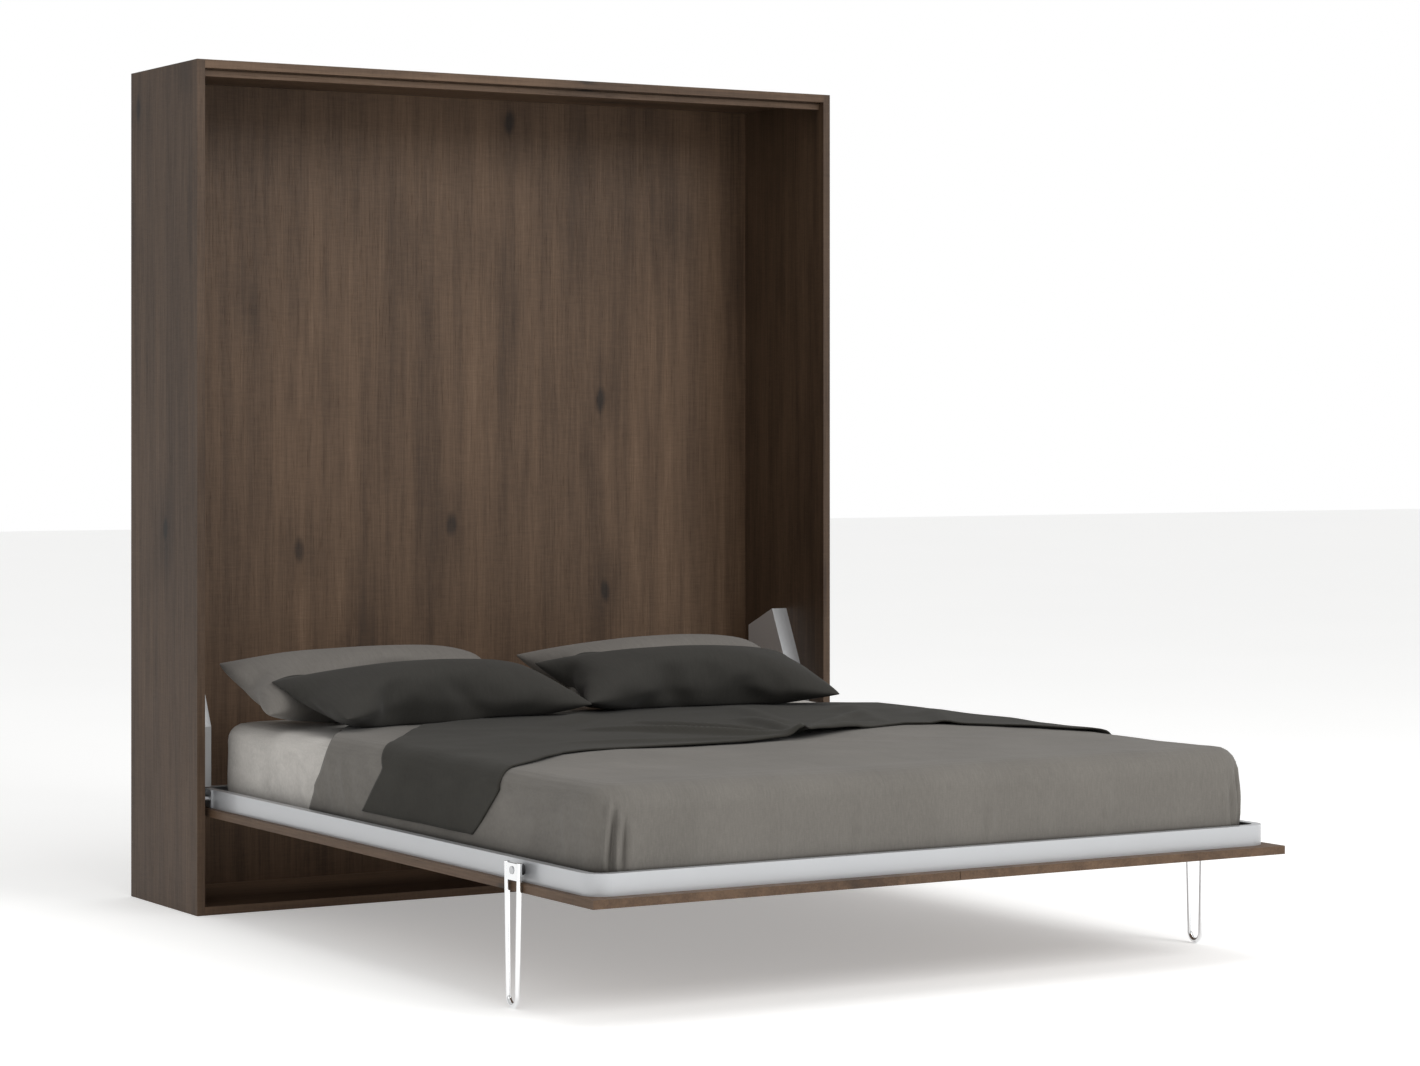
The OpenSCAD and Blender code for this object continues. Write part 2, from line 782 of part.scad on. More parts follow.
guide_bush_set(1);  // guide_bushes_right
gas_rod(-1);  // gas_rod_left
gas_rod(1);  // gas_rod_right
gas_cylinder(-1);  // gas_cylinder_left
gas_cylinder(1);  // gas_cylinder_right
leg(-1);  // leg_left
leg(1);  // leg_right
leg_bush(-1);  // leg_bush_left
leg_bush(1);  // leg_bush_right
leg_pin(-1);  // leg_pin_left
leg_pin(1);  // leg_pin_right
mattress();
duvet();
throw();
pillow_light(-1);  // pillow_light_left
pillow_light(1);  // pillow_light_right
pillow_dark(-1);  // pillow_dark_left
pillow_dark(1);  // pillow_dark_right
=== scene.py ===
# %% [markdown]
# # A fold-down wall bed
# A wall bed is a tall cabinet with a bed that folds down out of it on two pins. This lesson dresses
# the finished frame model: it gives every board, bar and screw a material, and it makes the bedding,
# which a frame model only holds as plain solids. All lengths are metres, and the bed's foot is
# towards -Y.

# %% Load the frame
import math

import bmesh
import bpy
import numpy as np
from mathutils import Matrix, Vector, noise
from mathutils.bvhtree import BVHTree


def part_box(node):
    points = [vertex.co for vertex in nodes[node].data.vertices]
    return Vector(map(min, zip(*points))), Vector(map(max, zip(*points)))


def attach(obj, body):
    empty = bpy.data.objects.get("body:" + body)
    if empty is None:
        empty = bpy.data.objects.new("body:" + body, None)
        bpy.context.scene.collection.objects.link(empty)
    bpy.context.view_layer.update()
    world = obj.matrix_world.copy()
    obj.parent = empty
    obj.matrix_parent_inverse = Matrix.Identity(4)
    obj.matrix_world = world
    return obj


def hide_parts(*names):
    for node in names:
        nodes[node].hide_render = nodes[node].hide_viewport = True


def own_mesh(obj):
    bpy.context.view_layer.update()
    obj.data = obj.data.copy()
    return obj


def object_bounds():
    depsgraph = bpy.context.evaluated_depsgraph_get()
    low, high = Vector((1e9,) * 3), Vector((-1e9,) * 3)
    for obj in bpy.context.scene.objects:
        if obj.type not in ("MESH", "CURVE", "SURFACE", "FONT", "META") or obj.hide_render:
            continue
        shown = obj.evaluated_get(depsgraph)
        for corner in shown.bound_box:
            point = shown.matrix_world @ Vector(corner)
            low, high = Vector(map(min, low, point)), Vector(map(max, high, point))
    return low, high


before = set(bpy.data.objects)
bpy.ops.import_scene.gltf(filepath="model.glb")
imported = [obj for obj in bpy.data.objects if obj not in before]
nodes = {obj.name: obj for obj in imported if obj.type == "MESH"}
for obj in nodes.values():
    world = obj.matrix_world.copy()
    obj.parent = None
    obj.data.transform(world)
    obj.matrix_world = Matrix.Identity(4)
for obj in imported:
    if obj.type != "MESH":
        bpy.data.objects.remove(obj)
cad_low, cad_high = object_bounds()
print("frame box", tuple(cad_low), tuple(cad_high), "nodes", len(nodes))

# %% [markdown]
# ## The camera and the studio
# Furniture is shown from eye height below the top of the cabinet, with a long lens, so that its
# upright edges stay upright. A small vertical shift frames it without tilting the camera. Soft light
# comes from large area lamps and from a white world, which also gives the chrome something to show.

# %% Camera
camera = bpy.data.objects.new("camera", bpy.data.cameras.new("camera"))
bpy.context.scene.collection.objects.link(camera)
camera.location = (-4.1300, -7.0191, 1.1583)
camera.rotation_euler = (math.radians(90), 0, math.radians(-31.01))
camera.data.lens = 89.13
camera.data.sensor_width = 36
camera.data.shift_y = -0.0754
camera.data.clip_end = 60
bpy.context.scene.camera = camera


# %% Lamps and world
def lamp(name, place, aim, size, watts):
    """A soft square lamp that looks from a place towards a point."""
    made = bpy.data.objects.new(name, bpy.data.lights.new(name, "AREA"))
    bpy.context.scene.collection.objects.link(made)
    made.data.shape = "SQUARE"
    made.data.size = size
    made.data.energy = watts
    made.location = place
    made.rotation_euler = (Vector(aim) - Vector(place)).to_track_quat("-Z", "Y").to_euler()
    return made


lamp("key_lamp", (2.6, -6.2, 4.6), (0, 0, 0.9), 3.0, 235)
lamp("left_lamp", (-5.0, -5.0, 3.2), (0, 0, 0.8), 3.0, 38)
lamp("top_lamp", (0, -1.4, 5.2), (0, -0.4, 0), 3.0, 60)

world = bpy.data.worlds.new("studio")
bpy.context.scene.world = world
world.use_nodes = True
sky = world.node_tree.nodes["Background"]
sky.inputs["Color"].default_value = (1, 1, 1, 1)
seen = world.node_tree.nodes.new("ShaderNodeLightPath")
level = world.node_tree.nodes.new("ShaderNodeMapRange")
level.inputs["To Min"].default_value = 0.62
level.inputs["To Max"].default_value = 1.0
world.node_tree.links.new(level.inputs["Value"], seen.outputs["Is Camera Ray"])
world.node_tree.links.new(sky.inputs["Strength"], level.outputs["Result"])
bpy.context.scene.view_settings.view_transform = "Standard"


# %% [markdown]
# ## Writing materials as sums
# A material is a network of small sums on numbers that change over the surface. Python expressions
# are easier to read than wires, so one small class stands for a socket and adds the node of each sum,
# and one method makes every other kind of node.

# %% Sockets and finishes
class Value:
    """The output of a node, which Python's own signs can work with."""

    def __init__(self, finish, socket):
        self.finish = finish
        self.socket = socket

    def sum(self, operation, first, second):
        return self.finish.node("Math", {"operation": operation}, {0: first, 1: second})

    def __add__(self, other):
        return self.sum("ADD", self, other)

    def __radd__(self, other):
        return self.sum("ADD", other, self)

    def __sub__(self, other):
        return self.sum("SUBTRACT", self, other)

    def __rsub__(self, other):
        return self.sum("SUBTRACT", other, self)

    def __mul__(self, other):
        return self.sum("MULTIPLY", self, other)

    def __rmul__(self, other):
        return self.sum("MULTIPLY", other, self)


class Finish:
    """One material while it is made: its nodes, and the shader that they feed."""

    def __init__(self, name, **constants):
        self.material = bpy.data.materials.new(name)
        self.material.use_nodes = True
        self.tree = self.material.node_tree
        self.shader = self.tree.nodes["Principled BSDF"]
        for key, value in constants.items():
            self.shader.inputs[key.replace("_", " ")].default_value = value

    def node(self, kind, settings=None, inputs=None, output=0):
        made = self.tree.nodes.new("ShaderNode" + kind)
        for key, value in (settings or {}).items():
            if key == "stops":
                self.set_stops(made.color_ramp, value)
            else:
                setattr(made, key, value)
        for key, value in (inputs or {}).items():
            self.feed(made.inputs[key], value)
        return Value(self, made.outputs[output])

    def set_stops(self, ramp, stops):
        while len(ramp.elements) < len(stops):
            ramp.elements.new(1)
        for element, (place, colour) in zip(ramp.elements, stops):
            element.position = place
            element.color = (*colour, 1)

    def feed(self, socket, value):
        if isinstance(value, Value):
            self.tree.links.new(socket, value.socket)
        else:
            socket.default_value = value

    def place(self, scale):
        """Object coordinates, stretched by a scale for each axis."""
        here = self.node("TexCoord", output=3)
        return self.node("VectorMath", {"operation": "MULTIPLY"}, {0: here, 1: scale})

    def cloud(self, scale, detail=3, rough=0.55, warp=0):
        """A noise from 0 to 1, with about as many lumps to the metre as the scale says."""
        sizes = scale if isinstance(scale, tuple) else (scale, scale, scale)
        return self.node("TexNoise", {}, {"Vector": self.place(sizes), "Scale": 1.0, "Detail": detail,
                                          "Roughness": rough, "Distortion": warp})

    def step(self, value, low, high):
        """A smooth rise from 0 at low to 1 at high."""
        return self.node("MapRange", {"interpolation_type": "SMOOTHSTEP"},
                         {"Value": value, "From Min": low, "From Max": high})

    def ramp(self, value, stops):
        return self.node("ValToRGB", {"stops": stops}, {0: value})

    def mix(self, share, first, second, blend="MIX"):
        def colour(c):
            return (*c, 1) if isinstance(c, tuple) and len(c) == 3 else c
        return self.node("Mix", {"data_type": "RGBA", "blend_type": blend},
                         {0: share, 6: colour(first), 7: colour(second)}, 2)

    def bump(self, height, depth, strength=1.0):
        relief = self.node("Bump", {}, {"Height": height, "Distance": depth, "Strength": strength})
        self.feed(self.shader.inputs["Normal"], relief)

    def use(self, **sockets):
        for key, value in sockets.items():
            self.feed(self.shader.inputs[key.replace("_", " ")], value)
        return self


# %% [markdown]
# ## Dark oak board
# The cabinet is melamine board with a dark oak print. Real oak shows four things at once: broad
# streaks along the grain, fine fibres, short dark pores, and a few knots with the grain bending round
# them. Each is one noise, stretched along the grain, because a stretched noise costs little and never
# repeats. The stretch differs for upright, crosswise and lengthwise boards.

# %% Oak
def oak(name, grain, shade=1.0):
    """Dark oak with its grain along axis 0, 1 or 2; a shade below 1 darkens it all as painted shade."""
    wood = Finish(name, Specular_IOR_Level=0.35)

    def along(across, lengthwise):
        return tuple(lengthwise if axis == grain else across for axis in range(3))

    bend = wood.cloud(along(2.6, 0.7), 2)
    here = wood.node("TexCoord", output=3)
    parts = [wood.node("SeparateXYZ", {}, {0: here}, axis) for axis in range(3)]
    lengthwise = parts.pop(grain)
    flat = wood.node("CombineXYZ", {}, {0: (parts[0] + parts[1]) * 2.3 + bend * 0.16,
                                        1: lengthwise * 1.15 + bend * 0.2, 2: 0.0})
    knots = wood.node("TexVoronoi", {"feature": "F1", "voronoi_dimensions": "2D"},
                      {"Vector": flat, "Scale": 1.0, "Randomness": 1.0})
    knot = 1 - wood.step(knots, 0.04, 0.20)
    heart = 1 - wood.step(knots, 0.012, 0.048)
    streaks = wood.cloud(along(15, 0.8), 4, 0.6, 0.35)
    bands = wood.cloud(along(48, 1.7), 4, 0.62, 0.2)
    fibres = wood.cloud(along(230, 6), 3, 0.6)
    pores = wood.cloud(along(640, 20), 2, 0.5)
    saw = wood.cloud(along(30, 300), 2, 0.6)
    smudge = wood.step(wood.cloud(along(5.5, 1.6), 3), 0.52, 0.75)
    pore = wood.step(pores, 0.6, 0.72)
    tone = (streaks * 0.34 + bands * 0.26 + fibres * 0.26 + bend * 0.22 + saw * 0.13
            - smudge * 0.10 - knot * 0.07 - heart * 0.24 - pore * 0.08)
    # A shade below 1 darkens every grain colour: painted shade, used only for the side panels.
    dark, middle, light, pale = [tuple(c * shade for c in colour) for colour in (
        (0.017, 0.0095, 0.0052), (0.062, 0.0345, 0.0180), (0.112, 0.0660, 0.0370), (0.175, 0.109, 0.066))]
    colour = wood.ramp(tone, [(0.30, dark), (0.52, middle), (0.68, light), (0.84, pale)])
    wood.use(Base_Color=colour, Roughness=0.66 - fibres * 0.16 + pore * 0.12)
    wood.bump(fibres * 0.5 + saw * 0.25 - pore * 0.9 - heart * 0.4, 0.00035, 0.55)
    return wood.material


oak_upright = oak("oak_upright", 2)
# The side panels take a darker copy of the same oak: painted shade for the outer side that faces away from the
# lamps and the inner side in shadow.
oak_side_painted_shade = oak("oak_side_painted_shade", 2, 0.68)
oak_crosswise = oak("oak_crosswise", 0)
oak_lengthwise = oak("oak_lengthwise", 1)
print("oak finishes ready")


# %% [markdown]
# ## Metal, plastic and beech
# The bed's rim and the covers are powder coated: a satin silver with a very fine orange peel. The
# legs and gas rods are chrome, and small fittings are zinc plated steel. Each gets a constant colour
# varied a little by a noise, since no made surface is perfectly even.

# %% Hard finishes
def coated(name, colour, metallic, rough, grain=420.0, depth=0.00004, spread=0.12, coat=0.0):
    """A plated, painted or moulded surface with a slight change of tone and a fine relief."""
    paint = Finish(name, Metallic=metallic, Coat_Weight=coat)
    drift = paint.cloud(3.0, 3)
    peel = paint.cloud(grain, 2)
    lighter = tuple(min(1.0, c * (1 + spread)) for c in colour)
    darker = tuple(c * (1 - spread) for c in colour)
    paint.use(Base_Color=paint.mix(drift, darker, lighter), Roughness=rough - 0.06 + peel * 0.12)
    paint.bump(peel, depth, 0.6)
    return paint.material


rim_silver = coated("rim_silver", (0.49, 0.50, 0.515), 0.45, 0.36, 520.0, 0.00005, 0.05, 0.25)
cover_silver = coated("cover_silver", (0.66, 0.67, 0.68), 0.60, 0.40, 520.0, 0.00005, 0.05)
leg_chrome = coated("leg_chrome", (0.86, 0.87, 0.88), 1.0, 0.14, 60.0, 0.00001, 0.03)
zinc = coated("zinc_steel", (0.58, 0.59, 0.60), 1.0, 0.38, 380.0, 0.00003, 0.10)
black_enamel = coated("black_enamel", (0.02, 0.02, 0.022), 0.0, 0.30, 420.0, 0.00002, 0.15, 0.5)
dark_plastic = coated("dark_plastic", (0.045, 0.045, 0.048), 0.0, 0.55, 900.0, 0.00006, 0.15)
nylon = coated("nylon", (0.74, 0.73, 0.68), 0.0, 0.50, 500.0, 0.00004, 0.05)


def beech_finish():
    """Lacquered beech: pale, with short dark flecks along the slat."""
    wood = Finish("beech", Coat_Weight=0.2)
    band = wood.cloud((2.2, 60, 60), 3)
    fleck = wood.step(wood.cloud((60, 600, 600), 2), 0.6, 0.7)
    colour = wood.ramp(band, [(0.3, (0.50, 0.33, 0.18)), (0.7, (0.66, 0.48, 0.30))])
    wood.use(Base_Color=wood.mix(fleck * 0.35, colour, (0.36, 0.22, 0.12)), Roughness=0.45 + band * 0.1)
    wood.bump(band - fleck, 0.0001, 0.5)
    return wood.material


beech = beech_finish()

# %% Dress the frame
FINISHES = [
    ("side_panel", oak_side_painted_shade), ("back_panel", oak_upright), ("top_panel", oak_crosswise),
    ("bottom_panel", oak_crosswise), ("stop_rail", oak_crosswise), ("door_panel", oak_lengthwise),
    ("corner_dowels", beech), ("slats", beech), ("slat_caps", dark_plastic), ("leg_bush", dark_plastic),
    ("rim_frame", rim_silver), ("centre_beam", rim_silver), ("cross_bars", rim_silver),
    ("mechanism_cover", cover_silver), ("guide_plate", cover_silver), ("gas_cylinder", black_enamel),
    ("gas_rod", leg_chrome), ("leg_left", leg_chrome), ("leg_right", leg_chrome),
    ("guide_bushes", nylon), ("wall_hooks", zinc), ("plate_screws", zinc), ("door_screws", zinc),
    ("pin_bracket", zinc), ("gas_top_mount", zinc), ("leg_pin", zinc),
]
BEDDING = ("mattress", "duvet", "throw", "pillow_")
for name, node in nodes.items():
    if name.startswith(BEDDING):
        continue
    finish = next(material for start, material in FINISHES if name.startswith(start))
    node.data.materials.clear()
    node.data.materials.append(finish)
print("dressed", sum(not n.startswith(BEDDING) for n in nodes), "frame nodes")

# %% [markdown]
# ## Cotton
# Bedding is plain-woven cotton: a thread every third of a millimetre, too fine to see from across a
# room, but it breaks up the highlight. Two crossed noises stand for warp and weft. A slow change of
# tone stands for wear and pressing, and a little sheen lights the edges as raised fibres do.

# %% Fabric finishes
def cotton(name, colour, sheen=0.25, rough=0.82, thread=1500.0, fuzz=0.0):
    """Plain-woven cotton in one colour."""
    cloth = Finish(name, Specular_IOR_Level=0.12, Sheen_Weight=sheen, Sheen_Roughness=0.45)
    warp = cloth.cloud((thread, thread * 0.08, thread * 0.08), 1)
    weft = cloth.cloud((thread * 0.08, thread, thread), 1)
    weave = warp * 0.5 + weft * 0.5
    slub = cloth.cloud((260.0, 14.0, 40.0), 2)
    drift = cloth.cloud(4.5, 3)
    tone = weave * 0.45 + slub * 0.25 + drift * 0.30
    darker = tuple(c * 0.80 for c in colour)
    lighter = tuple(min(1.0, c * 1.20) for c in colour)
    cloth.use(Base_Color=cloth.ramp(tone, [(0.32, darker), (0.68, lighter)]),
              Roughness=rough - 0.08 + weave * 0.16)
    crease = cloth.cloud((22.0, 26.0, 18.0), 3, 0.5, 0.6)
    cloth.bump(weave * 0.12 + slub * 0.08 + crease * (0.55 + fuzz), 0.0022, 0.40)
    return cloth.material


sheet_cotton = cotton("sheet_cotton", (0.480, 0.458, 0.428), 0.1)
duvet_cotton = cotton("duvet_cotton", (0.146, 0.136, 0.122), 0.1)
throw_cotton = cotton("throw_cotton", (0.035, 0.033, 0.028), 0.06, 0.9, 1100.0, 0.1)
grey_cotton = cotton("grey_cotton", (0.150, 0.139, 0.126), 0.1)
charcoal_cotton = cotton("charcoal_cotton", (0.038, 0.036, 0.032), 0.06)


# %% [markdown]
# ## Working soft shapes
# Cloth is never flat. After a shape is roughly right, its points move along their normals by a few
# soft ridges, each from one point to another, and by a slow random swell. Working on all the points
# at once with arrays keeps this quick.

# %% Helpers for cloth
render_levels = 1


def keep_mesh(name, mesh, finish, smooth=True):
    """Turns a finished bmesh into an object that carries a finish."""
    data = bpy.data.meshes.new(name)
    mesh.to_mesh(data)
    mesh.free()
    made = bpy.data.objects.new(name, data)
    bpy.context.scene.collection.objects.link(made)
    data.materials.append(finish)
    data.polygons.foreach_set("use_smooth", [smooth] * len(data.polygons))
    return made


def points_of(made):
    """A mesh's points and their normals, as arrays."""
    count = len(made.data.vertices)
    points, normals = np.zeros(count * 3), np.zeros(count * 3)
    made.data.vertices.foreach_get("co", points)
    made.data.vertices.foreach_get("normal", normals)
    return points.reshape(-1, 3), normals.reshape(-1, 3)


def set_points(made, points):
    made.data.vertices.foreach_set("co", points.ravel())
    made.data.update()


def ridge(points, start, end, width, height):
    """A soft ridge from start to end: full height in its middle, fading at its ends."""
    start, end = np.array(start, float), np.array(end, float)
    line = end - start
    share = np.clip((points - start) @ line / (line @ line), 0, 1)
    off = np.linalg.norm(points - (start + share[:, None] * line), axis=1)
    return height * np.exp(-((off / width) ** 2)) * (0.25 + 0.75 * np.sin(np.pi * share) ** 0.6)


def swell(points, size, height, seed):
    """A slow random rise and fall, size metres from lump to lump."""
    offset = Vector((seed * 7.31, seed * 3.17, seed * 1.73))
    return height * np.array([noise.noise(Vector(p) / size + offset) for p in points])


def ruffle(made, ridges=(), swells=()):
    """Moves a piece's points along their normals by ridges and swells."""
    points, normals = points_of(made)
    lift = np.zeros(len(points))
    for start, end, width, height in ridges:
        lift += ridge(points, start, end, width, height)
    for size, height, seed in swells:
        lift += swell(points, size, height, seed)
    set_points(made, points + normals * lift[:, None])


def cut_into(mesh, axis, low, high, pitch):
    """Cuts a mesh with evenly spaced planes, so that it can bend."""
    count = max(1, round((high - low) / pitch))
    normal = Vector([float(axis == a) for a in range(3)])
    for i in range(1, count):
        at = Vector([low + (high - low) * i / count if axis == a else 0.0 for a in range(3)])
        bmesh.ops.bisect_plane(mesh, geom=mesh.verts[:] + mesh.edges[:] + mesh.faces[:], dist=1e-4,
                               plane_co=at, plane_no=normal)
    bmesh.ops.remove_doubles(mesh, verts=mesh.verts, dist=0.0006)


def round_slab(low, high, corner, top, bottom):
    """A block with round corners in plan and rolled upper and lower edges."""
    mesh = bmesh.new()
    bmesh.ops.create_cube(mesh, size=1)
    size, middle = Vector(high) - Vector(low), (Vector(high) + Vector(low)) / 2
    bmesh.ops.scale(mesh, vec=size, verts=mesh.verts)
    bmesh.ops.translate(mesh, vec=middle, verts=mesh.verts)
    upright = [e for e in mesh.edges if abs(e.verts[0].co.z - e.verts[1].co.z) > size.z / 2]
    bmesh.ops.bevel(mesh, geom=upright, offset=corner, segments=7, profile=0.5, affect="EDGES", material=-1)
    for height, radius in ((high[2], top), (low[2], bottom)):
        if radius > 0:
            rolled = [e for e in mesh.edges if all(abs(v.co.z - height) < 1e-5 for v in e.verts)]
            bmesh.ops.bevel(mesh, geom=rolled, offset=radius, segments=5, profile=0.5,
                            affect="EDGES", material=-1)
    return mesh


# %% [markdown]
# ## The mattress in its sheet
# The sheet is pulled tight over a foam mattress, so what shows is the mattress itself: a block with
# rolled edges and a slight crown, and a few upright wrinkles where the sheet is tucked under. It is
# made from a cube with bevelled edges, cut finely enough to wrinkle.

# %% Mattress
bed_low, bed_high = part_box("mattress")
hide = 0.004
mesh = round_slab(bed_low + Vector((hide, hide, 0.001)), bed_high - Vector((hide, 0, 0.004)), 0.066, 0.042,
                  0.02)
for axis, pitch in ((0, 0.035), (1, 0.011), (2, 0.018)):
    cut_into(mesh, axis, bed_low[axis], bed_high[axis], pitch)
mattress = keep_mesh("mattress_in_sheet", mesh, sheet_cotton)
side_x = bed_low.x
tucks = []
for side in (-1, 1):
    for y, lean, width, height in ((-0.245, 0.05, 0.014, 0.006), (-0.13, 0.06, 0.018, 0.0055),
                                   (-0.06, 0.03, 0.012, 0.005), (0.02, 0.05, 0.02, 0.004),
                                   (-0.19, 0.015, 0.01, -0.004), (0.30, 0.02, 0.02, 0.003)):
        tucks.append(((side * 0.8, 0.55 + y, bed_low.z + 0.01), (side * 0.8, 0.55 + y + lean, bed_high.z - 0.05),
                      width, height))
ruffle(mattress, tucks, [(0.22, 0.004, 1), (0.07, 0.0014, 2)])
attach(mattress, "bed")
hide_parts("mattress")
print("mattress faces", len(mattress.data.polygons))

# %% [markdown]
# ## The duvet
# The duvet covers the bed from the foot to the pillows and is tucked inside the rim all round. Draping
# it by simulation would work, but a tucked cover keeps the mattress's shape, so it is cut out of a
# slightly larger slab: the underside is deleted, the head end is cut off, and one slanting plane on
# each side turns the head edge back as it lies. A Solidify modifier then gives the cloth its thickness.

# %% Duvet
HEM_GAP = 0.003
COVER_GROW = 0.0085
cover_low, cover_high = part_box("duvet")


def cut_away(mesh, at, normal):
    """Removes what lies beyond a plane, on the side its normal points to."""
    bmesh.ops.bisect_plane(mesh, geom=mesh.verts[:] + mesh.edges[:] + mesh.faces[:], dist=1e-5,
                           plane_co=at, plane_no=normal, clear_outer=True)


low = Vector((cover_low.x + 0.002, cover_low.y + 0.002, cover_low.z + HEM_GAP))
high = Vector((cover_high.x - 0.002, bed_high.y, cover_high.z - 0.001))
mesh = round_slab(low, high, 0.07, 0.046, 0)
for axis, pitch in ((0, 0.0095), (1, 0.012), (2, 0.016)):
    cut_into(mesh, axis, low[axis], high[axis], pitch)
for corner_x in (-0.800, 0.735):
    cut_into(mesh, 0, corner_x, corner_x + 0.065, 0.004)
cut_into(mesh, 1, low.y + 0.001, low.y + 0.045, 0.006)
under = [f for f in mesh.faces if f.calc_center_median().z < low.z + 0.001]
bmesh.ops.delete(mesh, geom=under, context="FACES")
head_edge = cover_high.y + 0.080
cut_away(mesh, Vector((0, head_edge, 0)), Vector((0, 1, 0)))
for side in (-1, 1):
    corner_top = Vector((side * 0.808, 0.157, 0.456))
    fold_top = Vector((side * 0.612, 0.469, 0.460))
    hem = Vector((side * 0.808, 0.270, 0.298))
    normal = (fold_top - corner_top).cross(hem - corner_top).normalized()
    if normal.y < 0:
        normal.negate()
    cut_away(mesh, corner_top, normal)
duvet = keep_mesh("duvet_cover", mesh, duvet_cotton)
foot = low.y
pleats = []
for side, depth in ((-1, 1.0), (1, 0.7)):
    for x_low, y_low, x_high, y_high, z_high, width, height in (
            (0.789, 0.024, 0.779, 0.015, 0.425, 0.007, 0.011), (0.779, 0.015, 0.771, 0.010, 0.410, 0.005, -0.010),
            (0.769, 0.009, 0.761, 0.005, 0.410, 0.006, 0.010), (0.758, 0.004, 0.752, 0.002, 0.390, 0.005, -0.008),
            (0.742, 0.000, 0.738, 0.000, 0.380, 0.010, 0.004)):
        pleats.append(((side * x_low, foot + y_low, 0.286), (side * x_high, foot + y_high, z_high), width,
                       height * depth))
for x, width, height in ((-0.60, 0.02, 0.004), (-0.40, 0.015, 0.004), (-0.215, 0.009, 0.008), (-0.02, 0.02, 0.004),
                         (0.11, 0.009, 0.008), (0.25, 0.02, 0.004), (0.41, 0.009, 0.008), (0.60, 0.015, 0.004)):
    pleats.append(((x, foot, 0.286), (x + 0.012, foot, 0.400), width, height))
for y, lean, width, height in ((-0.95, 0.02, 0.012, 0.004), (-0.78, -0.03, 0.02, 0.003), (0.05, 0.05, 0.012, 0.005),
                               (0.12, 0.05, 0.010, 0.004), (0.20, 0.06, 0.012, 0.005)):
    for side in (-1, 1):
        pleats.append(((side * 0.806, y, 0.286), (side * 0.806, y + lean, 0.410), width, height))
pleats += [
    ((0.08, -0.43, 0.462), (0.38, -0.60, 0.462), 0.010, 0.003),
    ((0.14, -0.42, 0.462), (0.50, -0.58, 0.462), 0.010, 0.003),
    ((0.02, -0.43, 0.462), (0.20, -0.62, 0.462), 0.012, 0.002),
    ((-0.80, -0.98, 0.445), (0.80, -1.02, 0.445), 0.030, 0.002),
    ((-0.45, -0.50, 0.462), (-0.60, -0.80, 0.462), 0.030, 0.003),
]
ruffle(duvet, pleats, [(0.30, 0.005, 3), (0.09, 0.0012, 4)])
wall = duvet.modifiers.new("cloth_thickness", "SOLIDIFY")
wall.thickness = 0.005
wall.offset = -1
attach(duvet, "bed")
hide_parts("duvet")

# %% [markdown]
# ## The throw
# A dark throw lies across the bed, askew and pinched into a fold near the middle, and hangs down both
# sides. Its cross-section follows the duvet: up one side, round the edge, over the top and down the
# other side. So it starts as a flat grid, and each point is laid along that path, between a front
# edge and a rear edge that wander as a dropped cloth's do.

# %% Throw
EDGE_ROLL = 0.050
throw_low, throw_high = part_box("throw")
half_width = throw_high.x - 0.002
top_z = throw_high.z + 0.001
hem_z = throw_low.z - 0.010
side_run = top_z - EDGE_ROLL - hem_z
roll_run = EDGE_ROLL * math.pi / 2
top_run = 2 * (half_width - EDGE_ROLL)
whole_run = 2 * side_run + 2 * roll_run + top_run
TO_ROW = 0.722
REAR = [(0, -0.739), (side_run, -0.845), (side_run + roll_run, -0.790), (0.432, -0.429), (0.707, -0.301),
        (0.886, -0.271), (1.154, -0.292), (1.489, -0.311), (1.613, -0.349), (1.720, -0.430),
        (1.790, -0.520), (whole_run, -0.560)]
FRONT = [(0, -1.262), (0.03, -1.303), (side_run, -1.385), (side_run + roll_run, -1.368), (0.30, -1.262),
         (0.387, -1.190), (0.47, -1.165), (0.553, -1.150), (0.80, -1.150), (1.016, -1.146), (1.06, -1.120),
         (1.25, -1.010), (1.429, -0.938), (1.52, -0.985), (1.597, -1.098), (1.684, -1.290),
         (1.720, -1.330), (whole_run, -1.300)]


def path_at(run):
    """Where a run along the cross-section lies: x, z."""
    mirrored = run > whole_run / 2
    s = whole_run - run if mirrored else run
    if s < side_run:
        x, z = -half_width, hem_z + s
    elif s < side_run + roll_run:
        turn = (s - side_run) / EDGE_ROLL
        x = -half_width + EDGE_ROLL * (1 - math.cos(turn))
        z = top_z - EDGE_ROLL * (1 - math.sin(turn))
    else:
        x, z = -half_width + EDGE_ROLL + (s - side_run - roll_run), top_z
    return (-x if mirrored else x), z


